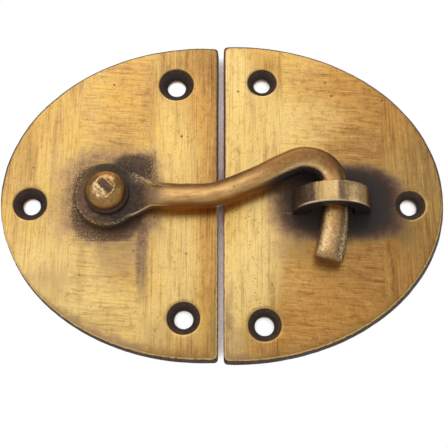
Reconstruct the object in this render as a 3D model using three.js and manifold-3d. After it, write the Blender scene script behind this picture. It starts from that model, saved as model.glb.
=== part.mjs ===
// Hook-and-eye latch on two half-oval cast brass plates, for a pair of doors that meet edge to edge.
//
// Millimetres. +X points right, +Z up and +Y into the doors. The backs of both plates lie on y = 0 and the
// origin is on the hook's pivot axis, so the hook swings in the XZ plane about the Y axis.
//
// Every piece is drawn face on, in a drawing frame with x to the right, y up and z out of the plates' front
// face, and then stood up against the doors by standUp().

import * as THREE from "three";
import { mergeVertices } from "three/addons/utils/BufferGeometryUtils.js";
import Module from "manifold-3d";

const wasm = await Module();
wasm.setup();

// ---------- driving dimensions ----------

const PLATE_THICKNESS = 3;
const OVAL_CENTRE = { x: 25.9, y: 0.8 }; // middle of the whole oval, seen from the pivot
const SPLIT_CORNER_RADIUS = 1;
const RIM_RADIUS = 0.3; // round-over where a plate's face meets its wall
const RIM_STEPS = 2;
const OVAL_SEGMENTS = 64; // along each plate's curved edge
const CORNER_SEGMENTS = 3;

// Lengths here are measured from the middle of the oval. draft is how far each wall leans in at the face.
const HOOK_PLATE = {
  side: -1,
  splitX: 0.6,
  ellipseX: 3.8,
  semiWidth: 47.4,
  semiHeight: 38.4,
  draft: { split: 0.15, apex: 0.25, top: 0.2, bottom: 0.4 },
  screwHoles: [
    { x: -10.8, y: 28.3, countersink: 8.5 },
    { x: -44.1, y: -2.1, countersink: 8.0 },
    { x: -8.3, y: -28.8, countersink: 7.6 },
  ],
};
const CATCH_PLATE = {
  side: 1,
  splitX: 0.6,
  ellipseX: 3.0,
  semiWidth: 49.0,
  semiHeight: 38.75,
  draft: { split: 0.1, apex: 0.8, top: 0.15, bottom: 0.4 },
  screwHoles: [
    { x: 9.9, y: 28.8, countersink: 7.2 },
    { x: 43.6, y: -2.5, countersink: 7.2 },
    { x: 9.7, y: -30.3, countersink: 7.6 },
  ],
};
const SCREW_HOLE_RADIUS = 2.1;
const COUNTERSINK_HALF_ANGLE = THREE.MathUtils.degToRad(45);

const ROUND_SEGMENTS = 32; // around the stud, the hook's eye and every hole
const PIVOT_RADIUS = 2.5;
const PIVOT_CLEARANCE = 0.1; // radial, between the pivot and the hook's eye
const TENON_RADIUS = 2.2; // of the stud where it passes through the plate
const TENON_GAP = 0.05; // around every tenon in its plate
const TAIL_RADIUS = 3.6; // of the stud's peened tail, flush in the plate's back
const TAIL_DEPTH = 1.2;
const COLLAR_RADIUS = 5.05;
const COLLAR_BOTTOM = 3.7;
const COLLAR_TOP = 4.7;
const COLLAR_EDGE = 0.3; // chamfer of the collar's lower and upper edges
const DOME_RADIUS = 4.5;
const DOME_SPRING = 5.4; // height where the dome's straight side starts to curve over
const DOME_TOP = 8.7;
const DOME_FLAT_RADIUS = 1.4; // hammered flat in the middle of the dome
const DOME_STEPS = 5;

const EYE_RADIUS = 7.7;
const EYE_BOTTOM = 0.3;
const EYE_TOP = 3.4;
const EYE_EDGE = 0.8; // round-over of the eye's rim
const EYE_EDGE_STEPS = 3;

const SWING_RADIUS = 52; // the tip is bent to this radius round the pivot, so that it swings through the eye
const TIP_ROUNDING = 2.4;
const TIP_RINGS = 4;
const ARM_RINGS = 46;
const SECTION_SEGMENTS = 16;
const SECTION_SQUARENESS = 2.5; // exponent of the arm's section: 2 is an ellipse, more is boxier

// The forged bar from the eye to where the tip starts down through the staple: its middle line, the height of
// that line above the plates, its width seen face on, and its thickness.
const ARM_STATIONS = [
  { x: 3.4, y: 0.1, height: 1.85, width: 13.4, thickness: 3.0 },
  { x: 6.6, y: 0.1, height: 1.9, width: 10.2, thickness: 3.1 },
  { x: 10.0, y: 0.0, height: 2.5, width: 6.8, thickness: 4.0 },
  { x: 13.6, y: -0.5, height: 3.2, width: 5.9, thickness: 5.0 },
  { x: 19.0, y: -0.6, height: 3.3, width: 5.6, thickness: 5.2 },
  { x: 25.0, y: -0.1, height: 3.3, width: 5.6, thickness: 5.2 },
  { x: 33.2, y: 3.1, height: 3.3, width: 5.7, thickness: 5.2 },
  { x: 41.3, y: 7.0, height: 3.3, width: 6.0, thickness: 5.2 },
  { x: 45.3, y: 8.1, height: 3.3, width: 6.1, thickness: 5.2 },
  { x: 49.4, y: 6.75, height: 3.3, width: 6.1, thickness: 5.1 },
  { x: 51.6, y: 3.5, height: 3.3, width: 6.0, thickness: 5.0 },
];
const TIP_LEVELS = [-0.5, -4.5, -8.5, -12, -15.9]; // down the tip, on the swing radius
// From the top of the tip to its end, which is beaten a little wider and thinner.
const TIP_WIDTH = { top: 5.9, end: 6.8 };
const TIP_THICKNESS = { top: 5.0, end: 4.3 };
const TIP_HEIGHT = { top: 3.3, end: 3.05 }; // of its middle line above the plates

const STAPLE_X = 51.3; // middle of the eye staple, from the pivot
const STAPLE_TOP = 1.1; // upper face of the staple, from the pivot's height
const STAPLE_WIDTH = 5.1; // along the hook's tip
const STAPLE_RADIUS = 8.98;
const STAPLE_CENTRE = 0.7; // height of the outer arc's centre above the plate
const ARCH_RADIUS = 4.9;
const ARCH_CENTRE = 1.8;
const ARCH_SEGMENTS = 20;
const STAPLE_BEVEL = 0.35;
const STAPLE_BEVEL_STEPS = 2;
const STAPLE_TENON = { width: 3.0, breadth: 3.4, fromMiddle: 6.9 };
const STAPLE_TAIL = { depth: 0.8, spread: 0.4 };
const TENON_ROOT = 1; // how far the staple's tenons run up into its legs

const CUT_OVERSHOOT = 2; // how far a cutter reaches past the piece it cuts

const BRASS = {
  face: { color: 0xb08a45, roughness: 0.42 },
  hook: { color: 0x8c6f3c, roughness: 0.4 },
  stud: { color: 0xa8843f, roughness: 0.35 },
  staple: { color: 0xb5914a, roughness: 0.35 },
};

// ---------- solids ----------

// A closed geometry as a solid that can be joined and cut.
function solidOf(geometry) {
  const bare = geometry.clone();
  bare.deleteAttribute("normal");
  bare.deleteAttribute("uv");
  const merged = mergeVertices(bare);
  return new wasm.Manifold(
    new wasm.Mesh({
      numProp: 3,
      vertProperties: merged.attributes.position.array,
      triVerts: new Uint32Array(merged.index.array),
    }),
  );
}

function geometryOf(solid) {
  const mesh = solid.getMesh();
  const geometry = new THREE.BufferGeometry();
  geometry.setAttribute("position", new THREE.BufferAttribute(mesh.vertProperties, 3));
  geometry.setIndex(new THREE.BufferAttribute(mesh.triVerts, 1));
  return geometry;
}

// Moves every vertex of a geometry with move(vertex), which edits the vector it is given.
function reshape(geometry, move) {
  const position = geometry.getAttribute("position");
  const vertex = new THREE.Vector3();
  for (let i = 0; i < position.count; i++) {
    vertex.fromBufferAttribute(position, i);
    move(vertex);
    position.setXYZ(i, vertex.x, vertex.y, vertex.z);
  }
  return geometry;
}

// A turned solid about the drawing frame's z axis, from [radius, height] pairs that start and end on the axis.
function turned(profile, x = 0, y = 0) {
  const points = profile.map(([radius, height]) => new THREE.Vector2(radius, height));
  const geometry = new THREE.LatheGeometry(points, ROUND_SEGMENTS);
  return geometry.rotateX(Math.PI / 2).translate(x, y, 0);
}

// [radius, height] pairs along a quarter-ellipse whose centre is (centreRadius, centreHeight).
function quarterRound(centreRadius, centreHeight, reach, rise, steps, fromDegrees = 0, toDegrees = 90) {
  const points = [];
  for (let i = 0; i <= steps; i++) {
    const angle = THREE.MathUtils.degToRad(fromDegrees + ((toDegrees - fromDegrees) * i) / steps);
    points.push([centreRadius + reach * Math.cos(angle), centreHeight + rise * Math.sin(angle)]);
  }
  return points;
}

// From the drawing frame to the frame of the part.
function standUp(geometry) {
  return geometry.rotateX(Math.PI / 2).translate(0, -PLATE_THICKNESS, 0);
}

// ---------- plates ----------

// The outline of a plate at its back: a straight edge at the split, closed by an arc of an ellipse.
function plateOutline({ side, splitX, ellipseX, semiWidth, semiHeight }) {
  const edgeY = (x) => semiHeight * Math.sqrt(1 - ((x - ellipseX) / semiWidth) ** 2);
  const arcStart = splitX + SPLIT_CORNER_RADIUS;
  const arcAngle = Math.acos((arcStart - ellipseX) / semiWidth);
  const corner = new THREE.QuadraticBezierCurve(
    new THREE.Vector2(splitX, edgeY(splitX) - SPLIT_CORNER_RADIUS),
    new THREE.Vector2(splitX, edgeY(splitX)),
    new THREE.Vector2(arcStart, edgeY(arcStart)),
  );
  const arc = new THREE.EllipseCurve(ellipseX, 0, semiWidth, semiHeight, arcAngle, -arcAngle, true);
  const upperCorner = corner.getPoints(CORNER_SEGMENTS);
  const lowerCorner = upperCorner.map((p) => new THREE.Vector2(p.x, -p.y)).reverse();
  const points = [...upperCorner.slice(0, -1), ...arc.getPoints(OVAL_SEGMENTS), ...lowerCorner.slice(1)];
  return new THREE.Shape(points.map((p) => new THREE.Vector2(side * p.x, p.y)));
}

// Layers of the plate's wall from the back to the face: the height above the face, how much of the draft has
// been taken up, and the inset of the rounded rim.
function wallLayers() {
  const layers = [{ height: -PLATE_THICKNESS, draft: 0, inset: 0 }];
  for (let i = 0; i <= RIM_STEPS; i++) {
    const angle = (Math.PI / 2) * (i / RIM_STEPS);
    const height = RIM_RADIUS * (Math.sin(angle) - 1);
    layers.push({
      height,
      draft: 1 + height / PLATE_THICKNESS,
      inset: RIM_RADIUS * (1 - Math.cos(angle)),
    });
  }
  return layers;
}

function plateBlank(plate) {
  const { side, splitX, ellipseX, semiWidth, semiHeight, draft } = plate;
  const layers = wallLayers();
  const steps = layers.length - 1;
  const geometry = new THREE.ExtrudeGeometry(plateOutline(plate), {
    depth: steps,
    steps,
    bevelEnabled: false,
  });
  const width = ellipseX + semiWidth - splitX;
  return reshape(geometry, (vertex) => {
    const layer = layers[Math.round(vertex.z)];
    const towardsApex = (side * vertex.x - splitX) / width;
    const towardsTop = (1 + vertex.y / semiHeight) / 2;
    const leanIn = (amount) => amount * layer.draft + layer.inset;
    vertex.x += side * (leanIn(draft.split) * (1 - towardsApex) - leanIn(draft.apex) * towardsApex);
    vertex.y += leanIn(draft.bottom) * (1 - towardsTop) - leanIn(draft.top) * towardsTop;
    vertex.z = layer.height;
  }).translate(OVAL_CENTRE.x, OVAL_CENTRE.y, 0);
}

function screwHole({ x, y, countersink }) {
  const mouth = countersink / 2;
  const depth = (mouth - SCREW_HOLE_RADIUS) / Math.tan(COUNTERSINK_HALF_ANGLE);
  const profile = [
    [0, -PLATE_THICKNESS - CUT_OVERSHOOT],
    [SCREW_HOLE_RADIUS, -PLATE_THICKNESS - CUT_OVERSHOOT],
    [SCREW_HOLE_RADIUS, -depth],
    [mouth, 0],
    [mouth, CUT_OVERSHOOT],
    [0, CUT_OVERSHOOT],
  ];
  return turned(profile, OVAL_CENTRE.x + x, OVAL_CENTRE.y + y);
}

function drilledPlate(plate) {
  return plate.screwHoles.reduce(
    (solid, hole) => solid.subtract(solidOf(screwHole(hole))),
    solidOf(plateBlank(plate)),
  );
}

function hookPlate() {
  const bore = turned([
    [0, -PLATE_THICKNESS - CUT_OVERSHOOT],
    [TAIL_RADIUS + TENON_GAP, -PLATE_THICKNESS - CUT_OVERSHOOT],
    [TAIL_RADIUS + TENON_GAP, -PLATE_THICKNESS],
    [TENON_RADIUS + TENON_GAP, -PLATE_THICKNESS + TAIL_DEPTH],
    [TENON_RADIUS + TENON_GAP, CUT_OVERSHOOT],
    [0, CUT_OVERSHOOT],
  ]);
  return geometryOf(drilledPlate(HOOK_PLATE).subtract(solidOf(bore)));
}

// ---------- pivot stud ----------

function pivotStud() {
  const domeReach = DOME_RADIUS - DOME_FLAT_RADIUS;
  return turned([
    [0, -PLATE_THICKNESS],
    [TAIL_RADIUS, -PLATE_THICKNESS],
    [TENON_RADIUS, -PLATE_THICKNESS + TAIL_DEPTH],
    [TENON_RADIUS, 0],
    [PIVOT_RADIUS, 0],
    [PIVOT_RADIUS, COLLAR_BOTTOM],
    [COLLAR_RADIUS - COLLAR_EDGE, COLLAR_BOTTOM],
    [COLLAR_RADIUS, COLLAR_BOTTOM + COLLAR_EDGE],
    [COLLAR_RADIUS, COLLAR_TOP - COLLAR_EDGE],
    [DOME_RADIUS, COLLAR_TOP],
    ...quarterRound(DOME_FLAT_RADIUS, DOME_SPRING, domeReach, DOME_TOP - DOME_SPRING, DOME_STEPS),
    [0, DOME_TOP],
  ]);
}

// ---------- hook ----------

// The middle of the tip at the level y, on the swing radius, as a station of the bar.
function tipStation(y) {
  const downTheTip = (TIP_LEVELS[0] - y) / (TIP_LEVELS[0] - TIP_LEVELS.at(-1));
  const between = ({ top, end }) => THREE.MathUtils.lerp(top, end, downTheTip);
  return {
    x: Math.sqrt(SWING_RADIUS ** 2 - y ** 2),
    y,
    height: between(TIP_HEIGHT),
    width: between(TIP_WIDTH),
    thickness: between(TIP_THICKNESS),
  };
}

// A rounded section one unit wide and one unit thick.
function unitSection() {
  const points = [];
  for (let i = 0; i < SECTION_SEGMENTS; i++) {
    const angle = (2 * Math.PI * i) / SECTION_SEGMENTS;
    const fullness = (value) => (Math.sign(value) * Math.abs(value) ** (2 / SECTION_SQUARENESS)) / 2;
    points.push(new THREE.Vector2(fullness(Math.cos(angle)), fullness(Math.sin(angle))));
  }
  return new THREE.Shape(points);
}

// Rings along the bar: the distance from its start, and the share of the full section left there. The rounding
// stops half a step short of a point.
function barRings(length) {
  const full = length - TIP_ROUNDING;
  const rings = [];
  for (let i = 0; i <= ARM_RINGS; i++) {
    rings.push({ along: (full * i) / ARM_RINGS, share: 1 });
  }
  for (let i = 1; i <= TIP_RINGS; i++) {
    const angle = (Math.PI / 2) * (i / (TIP_RINGS + 0.5));
    rings.push({ along: full + TIP_ROUNDING * Math.sin(angle), share: Math.cos(angle) });
  }
  return rings;
}

// The bar swept along its stations, with the section always upright and square to the middle line.
function bar() {
  const stations = [...ARM_STATIONS, ...TIP_LEVELS.map(tipStation)];
  const middle = new THREE.CatmullRomCurve3(
    stations.map(({ x, y, height }) => new THREE.Vector3(x, y, height)),
  );
  const sizes = new THREE.CatmullRomCurve3(
    stations.map(({ width, thickness }) => new THREE.Vector3(width, thickness, 0)),
  );
  const length = middle.getLength();
  const frames = barRings(length).map(({ along, share }) => {
    const t = middle.getUtoTmapping(along / length);
    const heading = middle.getTangent(t).setZ(0).normalize();
    return {
      centre: middle.getPoint(t),
      across: new THREE.Vector3(-heading.y, heading.x, 0),
      size: sizes.getPoint(t).multiplyScalar(share),
    };
  });
  const steps = frames.length - 1;
  const geometry = new THREE.ExtrudeGeometry(unitSection(), {
    depth: steps,
    steps,
    bevelEnabled: false,
  });
  return reshape(geometry, (vertex) => {
    const { centre, across, size } = frames[Math.round(vertex.z)];
    const sideways = vertex.x * size.x;
    const upwards = vertex.y * size.y;
    vertex.copy(centre).addScaledVector(across, sideways);
    vertex.z += upwards;
  });
}

function hook() {
  const rim = EYE_RADIUS - EYE_EDGE;
  const eye = turned([
    [0, EYE_BOTTOM],
    ...quarterRound(rim, EYE_BOTTOM + EYE_EDGE, EYE_EDGE, EYE_EDGE, EYE_EDGE_STEPS, -90, 0),
    ...quarterRound(rim, EYE_TOP - EYE_EDGE, EYE_EDGE, EYE_EDGE, EYE_EDGE_STEPS),
    [0, EYE_TOP],
  ]);
  const boreRadius = PIVOT_RADIUS + PIVOT_CLEARANCE;
  const bore = turned([
    [0, EYE_BOTTOM - CUT_OVERSHOOT],
    [boreRadius, EYE_BOTTOM - CUT_OVERSHOOT],
    [boreRadius, EYE_TOP + CUT_OVERSHOOT],
    [0, EYE_TOP + CUT_OVERSHOOT],
  ]);
  return geometryOf(solidOf(eye).add(solidOf(bar())).subtract(solidOf(bore)));
}

// ---------- eye staple and its plate ----------

// The half ring, drawn in its own plane with the plate's face at y = 0 and its feet a little below it.
function stapleOutline() {
  const below = -CUT_OVERSHOOT;
  const outer = new THREE.EllipseCurve(
    0,
    STAPLE_CENTRE,
    STAPLE_RADIUS - STAPLE_BEVEL,
    STAPLE_RADIUS - STAPLE_BEVEL,
    Math.PI,
    0,
    true,
  );
  const inner = new THREE.EllipseCurve(
    0,
    ARCH_CENTRE,
    ARCH_RADIUS + STAPLE_BEVEL,
    ARCH_RADIUS + STAPLE_BEVEL,
    0,
    Math.PI,
    false,
  );
  return new THREE.Shape([
    new THREE.Vector2(-STAPLE_RADIUS + STAPLE_BEVEL, below),
    ...outer.getPoints(ARCH_SEGMENTS),
    new THREE.Vector2(STAPLE_RADIUS - STAPLE_BEVEL, below),
    new THREE.Vector2(ARCH_RADIUS + STAPLE_BEVEL, below),
    ...inner.getPoints(ARCH_SEGMENTS),
    new THREE.Vector2(-ARCH_RADIUS - STAPLE_BEVEL, below),
  ]);
}

// A square tenon through the plate that spreads a little at the back, grown by gap on every side. It runs on
// above the plate's face and below its back by the two distances given.
function stapleTenon(side, gap, above, below) {
  const { width, breadth, fromMiddle } = STAPLE_TENON;
  const { depth, spread } = STAPLE_TAIL;
  const x = STAPLE_X + side * fromMiddle;
  const y = STAPLE_TOP - STAPLE_WIDTH / 2;
  const height = PLATE_THICKNESS + above + below;
  const shank = new THREE.BoxGeometry(width + 2 * gap, breadth + 2 * gap, height);
  shank.translate(x, y, (above - PLATE_THICKNESS - below) / 2);
  const tail = new THREE.BoxGeometry(1, 1, depth + below);
  const flare = (spread * (depth + below)) / depth;
  reshape(tail, (vertex) => {
    const grow = gap + (vertex.z < 0 ? flare : 0);
    vertex.x *= width + 2 * grow;
    vertex.y *= breadth + 2 * grow;
  });
  tail.translate(x, y, -PLATE_THICKNESS + (depth - below) / 2);
  return solidOf(shank).add(solidOf(tail));
}

function eyeStaple() {
  const ring = new THREE.ExtrudeGeometry(stapleOutline(), {
    depth: STAPLE_WIDTH - 2 * STAPLE_BEVEL,
    bevelThickness: STAPLE_BEVEL,
    bevelSize: STAPLE_BEVEL,
    bevelSegments: STAPLE_BEVEL_STEPS,
  });
  ring.translate(0, 0, STAPLE_BEVEL).rotateX(Math.PI / 2).translate(STAPLE_X, STAPLE_TOP, 0);
  const below = new THREE.BoxGeometry(4 * STAPLE_RADIUS, 4 * STAPLE_WIDTH, 2 * STAPLE_RADIUS);
  below.translate(STAPLE_X, STAPLE_TOP - STAPLE_WIDTH / 2, -STAPLE_RADIUS);
  let solid = solidOf(ring).subtract(solidOf(below));
  for (const side of [-1, 1]) {
    solid = solid.add(stapleTenon(side, 0, TENON_ROOT, 0));
  }
  return geometryOf(solid);
}

function catchPlate() {
  let solid = drilledPlate(CATCH_PLATE);
  for (const side of [-1, 1]) {
    solid = solid.subtract(stapleTenon(side, TENON_GAP, CUT_OVERSHOOT, CUT_OVERSHOOT));
  }
  return geometryOf(solid);
}

// ---------- assembly ----------

function piece(name, geometry, finish) {
  const material = new THREE.MeshStandardMaterial({ ...finish, metalness: 1 });
  const mesh = new THREE.Mesh(standUp(geometry), material);
  mesh.name = name;
  return mesh;
}

const hookHalf = new THREE.Group();
hookHalf.add(piece("hook_plate", hookPlate(), BRASS.face));
hookHalf.add(piece("pivot_stud", pivotStud(), BRASS.stud));
hookHalf.add(piece("hook", hook(), BRASS.hook));

const catchHalf = new THREE.Group();
catchHalf.add(piece("catch_plate", catchPlate(), BRASS.face));
catchHalf.add(piece("eye_staple", eyeStaple(), BRASS.staple));

const latch = new THREE.Group();
latch.add(hookHalf, catchHalf);

export default latch;
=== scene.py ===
"""Looks of the antique brass hook-and-eye latch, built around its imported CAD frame.

Every visible piece is a fine mesh in the place of its CAD node. Meshes are worked out in millimetres in the
frame of the part (+X right, +Z up, +Y into the doors, origin on the pivot) and turned into metres at the end.
"height" always means the distance out of the plates' front face, towards the viewer.
"""

import math

import bmesh
import bpy
import numpy as np
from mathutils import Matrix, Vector, geometry, noise


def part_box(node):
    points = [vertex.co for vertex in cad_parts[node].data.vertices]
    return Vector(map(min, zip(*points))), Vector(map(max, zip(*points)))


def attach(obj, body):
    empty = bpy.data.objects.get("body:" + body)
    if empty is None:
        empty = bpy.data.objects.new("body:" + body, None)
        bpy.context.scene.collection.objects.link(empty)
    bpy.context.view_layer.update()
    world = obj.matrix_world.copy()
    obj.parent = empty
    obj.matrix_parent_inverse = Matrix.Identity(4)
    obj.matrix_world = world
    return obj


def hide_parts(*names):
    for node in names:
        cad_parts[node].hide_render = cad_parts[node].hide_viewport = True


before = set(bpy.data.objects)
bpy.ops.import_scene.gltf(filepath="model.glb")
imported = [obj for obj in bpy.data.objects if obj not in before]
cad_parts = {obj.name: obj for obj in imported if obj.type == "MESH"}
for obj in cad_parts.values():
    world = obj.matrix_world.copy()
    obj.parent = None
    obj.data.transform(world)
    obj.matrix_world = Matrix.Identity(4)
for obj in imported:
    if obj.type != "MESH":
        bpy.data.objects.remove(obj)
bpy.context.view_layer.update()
MM = 0.001


def box_mm(node):
    """Lowest and highest corner of a CAD node, in millimetres."""
    low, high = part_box(node)
    return np.array(low) / MM, np.array(high) / MM


# ---------- dimensions, in millimetres ----------

PLATE_LOW, PLATE_HIGH = box_mm("hook_plate")
THICKNESS = PLATE_HIGH[1] - PLATE_LOW[1]

# draft is how far each wall leans in at the face, and roll how far the face rounds off towards the split. A
# screw hole is x, z, countersink diameter and bore diameter. brushed_sideways is the x range that was brushed
# across and not up and down. The rest says where the looks change. A place is x and z of its middle, its
# reach in x and in z, its strength, and for some the share of the reach over which it fades. Stains are dark
# tarnish. Amber, deep and pale are tones of the metal and partly painted light: pale places are partly
# painted highlights, amber and deep places partly painted shade. Flecked places have light and dark flecks.
# streaking and ragged say how much brush strokes and blotches break up the stains. Scratches are bright lines
# across: x from, x to, z, strength.
HOOK_PLATE = {
    "node": "hook_plate",
    "body": "hook_half",
    "side": -1,
    "ellipse_inset": 3.2,
    "draft": {"split": 0.15, "apex": 0.25, "top": 0.2, "bottom": 0.4},
    "screw_holes": [(15.1, 29.1, 8.5, 4.4), (-18.2, -1.3, 8.0, 4.1), (17.6, -28.0, 7.6, 4.3)],
    "roll": 0.22,
    "brushed_sideways": (-8.1, 8.4),
    "stains": [
        (-0.3, -1.2, 8.3, 9.4, 0.32, 0.12), (0.8, 0.5, 12, 11, 0.5, 0.9), (5.2, 7.6, 4.6, 3.6, 0.55, 0.5),
        (-1, -2, 21, 18, 0.14, 1), (9.8, 7, 1.3, 5.5, 0.3, 0.6), (8, -15, 1.5, 10, 0.27, 0.8),
        (3, -14, 6.5, 8, 0.14, 0.9), (1.5, 12, 8.5, 4, 0.12, 0.9), (-14, -21, 9, 6, 0.13, 0.9),
        (14, -32, 8, 5, 0.1, 0.9),
    ],
    "amber": [
        (22, 27, 8, 17, 0.7), (23.8, -8, 4, 34, 0.7), (11, -38, 26, 5.5, 0.65), (-20, 14, 5, 12, 0.4),
        (4, 25, 7, 14, 0.4),
    ],
    "deep": [
        (24.5, 36, 12, 8, 0.55), (24.6, 14, 2.4, 26, 0.38), (8.8, 24, 2.2, 14, 0.3),
        (12, -37.5, 16, 3.4, 0.4), (-3, -31, 9, 6, 0.2), (-21.5, 10, 4, 14, 0.25),
        (-5.6, -16, 1.2, 12, 0.3), (2, 15, 7, 6, 0.24),
    ],
    "pale": [
        (-12, -20, 15, 15, 0.95), (2, -29, 17, 9, 0.6), (15.5, -14, 6, 13, 0.65), (15, 14, 6, 13, 0.5),
        (-16, 8, 9, 9, 0.3),
    ],
    "streaking": 0.42,
    "ragged": 0.70,
    "flecked": [
        (-7, 2, 3.4, 9, 1), (-4, -9, 6, 2.6, 0.8), (9.8, 7, 1.8, 9, 0.9), (8.2, -15, 1.6, 8, 0.35),
        (-11.5, -2, 3, 11, 0.4), (1, 10, 8, 3, 0.4),
    ],
    "scratches": [(-7.6, 6.6, -10.5, 0.55), (-7.0, -1.0, -9.7, 0.35)],
}
CATCH_PLATE = {
    "node": "catch_plate",
    "body": "catch_half",
    "side": 1,
    "ellipse_inset": 2.4,
    "draft": {"split": 0.1, "apex": 0.8, "top": 0.15, "bottom": 0.4},
    "screw_holes": [(35.8, 29.6, 7.2, 4.0), (69.5, -1.7, 7.2, 4.0), (35.6, -29.5, 7.6, 4.4)],
    "roll": 0.12,
    "brushed_sideways": (40.0, 63.5),
    "stains": [
        (52, -0.6, 14.8, 9.8, 0.8, 0.55), (56, -1, 11.5, 8.5, 0.55, 0.6), (63, -3, 8.5, 8.5, 0.34, 0.8),
        (54, -2, 20, 14, 0.2, 1), (47, -13, 11, 4, 0.17, 0.9), (70, -11, 6, 6, 0.2, 0.9),
        (29, -33, 5, 4, 0.16, 0.8),
    ],
    "amber": [
        (60, 22, 18, 17, 0.85), (65, -18, 17, 17, 0.9), (50, -31, 23, 13, 1), (52, -17, 15, 9, 0.7),
        (33, 34, 10, 6, 0.35),
    ],
    "deep": [
        (65, 3, 13, 17, 0.38), (73, 2, 7, 22, 0.4), (66, -17, 14, 13, 0.24), (50, -37, 20, 5.5, 0.45),
        (52, -13, 12, 8, 0.26), (57, 13, 9, 6, 0.34), (37.5, 31, 4.5, 5.5, 0.34), (41, -24, 5, 9, 0.22),
    ],
    "pale": [
        (34, 16, 11, 15, 0.55), (34, -14, 6, 17, 1), (29, 31, 5, 12, 0.85), (28, -26, 3.5, 16, 1),
        (46, 19, 12, 8, 0.5),
    ],
    "streaking": 0.22,
    "ragged": 0.42,
    "flecked": [
        (72.5, 6, 2, 3.5, 0.6), (38, -8, 3.5, 5, 0.25), (50, -11, 10, 2, 0.3),
    ],
    "scratches": [(39.0, 43.0, -3.6, 0.30), (42.0, 47.0, 17.5, 0.30), (64.0, 67.0, -2.4, 0.35)],
}
SPLIT_CORNER = 1.0
RIM_RADIUS = 0.3
ROLL_REACH = 7.0
# The ground face lies a little under the plate's nominal face, so that its waves stay inside.
FACE_DROP = 0.03
EDGE_SPACING = 0.42
FACE_SPACING = 0.5
HOLE_POINTS = 72
ARC_SAMPLES = 1200
CORNER_SAMPLES = 12

STUD_LOW, STUD_HIGH = box_mm("pivot_stud")
COLLAR_RADIUS = STUD_HIGH[0]
COLLAR_BOTTOM = 3.7
COLLAR_TOP = 4.7
COLLAR_ROUNDING = 0.45
PIVOT_RADIUS = 2.5
TENON_RADIUS = 2.2
TAIL_RADIUS = 3.6
TAIL_DEPTH = 1.2
TENON_GAP = 0.05
DOME_RADIUS = 4.5
DOME_SPRING = COLLAR_TOP + 0.7
DOME_TOP = -STUD_LOW[1] - THICKNESS - 0.1
# How much the hammer took off the dome, the spacing of the file cuts, and the facets, darkened as a painted
# dark reflection: place across the crown, half width.
CROWN_CUT = 0.55
CUT_SPACING = 0.62
FACETS = [(1.85, 0.42), (0.40, 0.95)]

EYE_RADIUS = -box_mm("hook")[0][0]
EYE_BORE = 2.6
EYE_BOTTOM = 0.3
EYE_TOP = 3.4
EYE_ROUNDING = 0.9
SWING_RADIUS = 52.0

# The bar from the eye to the start of the tip: x, z, height of its middle line, width, thickness, squareness.
ARM_STATIONS = [
    (3.4, 0.1, 1.85, 13.4, 3.0, 3.2),
    (6.6, 0.1, 1.9, 10.2, 3.1, 3.0),
    (10.0, 0.0, 2.5, 6.8, 4.0, 2.6),
    (13.6, -0.5, 3.2, 5.9, 5.0, 2.4),
    (19.0, -0.6, 3.3, 5.6, 5.2, 2.4),
    (25.0, -0.1, 3.3, 5.6, 5.2, 2.4),
    (33.2, 3.1, 3.3, 5.7, 5.2, 2.4),
    (41.3, 7.0, 3.3, 6.0, 5.2, 2.5),
    (45.3, 8.1, 3.3, 6.1, 5.2, 2.6),
    (49.4, 6.75, 3.3, 6.1, 5.1, 2.7),
    (51.6, 3.5, 3.3, 6.0, 5.0, 2.8),
]
TIP_LEVELS = (-0.5, -4.5, -8.5, -12.0, -15.9)
# From the top of the tip to its end, which is beaten a little wider and thinner.
TIP_WIDTH = (5.9, 6.8)
TIP_THICKNESS = (5.0, 4.3)
TIP_HEIGHT = (3.3, 3.05)
TIP_SQUARENESS = 2.7
TIP_ROUNDING = 2.0
TIP_POWER = 2.6
BAR_SAMPLES = 300
BAR_POINTS = 72
HOOK_VOXEL = 0.17

STAPLE_LOW, STAPLE_HIGH = box_mm("eye_staple")
STAPLE_X = (STAPLE_LOW[0] + STAPLE_HIGH[0]) / 2
STAPLE_RADIUS = (STAPLE_HIGH[0] - STAPLE_LOW[0]) / 2
STAPLE_CENTRE = -STAPLE_LOW[1] - THICKNESS - STAPLE_RADIUS
STAPLE_EDGE = 0.45
ARCH_RADIUS = 4.9
ARCH_CENTRE = 1.8
TENON_EDGE = 0.3
STAPLE_TENON = {"width": 3.0, "breadth": 3.4, "from_middle": 6.9}
STAPLE_TAIL = {"depth": 0.8, "spread": 0.4}


# ---------- mesh helpers ----------


def ripple(points, size, seed):
    """Smooth noise about zero at points in millimetres, with features about size millimetres across."""
    offset = Vector((seed * 7.31, seed * 3.77, seed * 5.13))
    return np.array([noise.fractal(Vector(p) / size + offset, 1.0, 2.0, 3) for p in np.atleast_2d(points)])


def in_part(x, height, z):
    """Drawing coordinates (x, height above the face, z) as points of the part's frame."""
    x, height, z = np.broadcast_arrays(x, height, z)
    return np.stack([x, -THICKNESS - height, z], axis=-1).astype(float)


def even_loop(points, spacing):
    """A closed polyline resampled to even steps of about spacing."""
    closed = np.vstack([points, points[:1]])
    steps = np.linalg.norm(np.diff(closed, axis=0), axis=1)
    along = np.concatenate([[0], np.cumsum(steps)])
    count = int(round(along[-1] / spacing))
    at = np.linspace(0, along[-1], count, endpoint=False)
    return np.stack([np.interp(at, along, closed[:, i]) for i in range(points.shape[1])], axis=1)


def inside(points, loop):
    """Which 2-D points lie inside a closed loop."""
    result = np.zeros(len(points), bool)
    for (x0, z0), (x1, z1) in zip(loop, np.roll(loop, -1, axis=0)):
        if z0 != z1:
            crosses = (z0 > points[:, 1]) != (z1 > points[:, 1])
            result ^= crosses & (points[:, 0] < x0 + (points[:, 1] - z0) * (x1 - x0) / (z1 - z0))
    return result


def distance_to(points, loop):
    """Distance from 2-D points to a closed polyline."""
    best = np.full(len(points), np.inf)
    for start, end in zip(loop, np.roll(loop, -1, axis=0)):
        way = end - start
        share = np.clip(((points - start) @ way) / (way @ way), 0, 1)
        best = np.minimum(best, np.linalg.norm(points - start - share[:, None] * way, axis=1))
    return best


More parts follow.
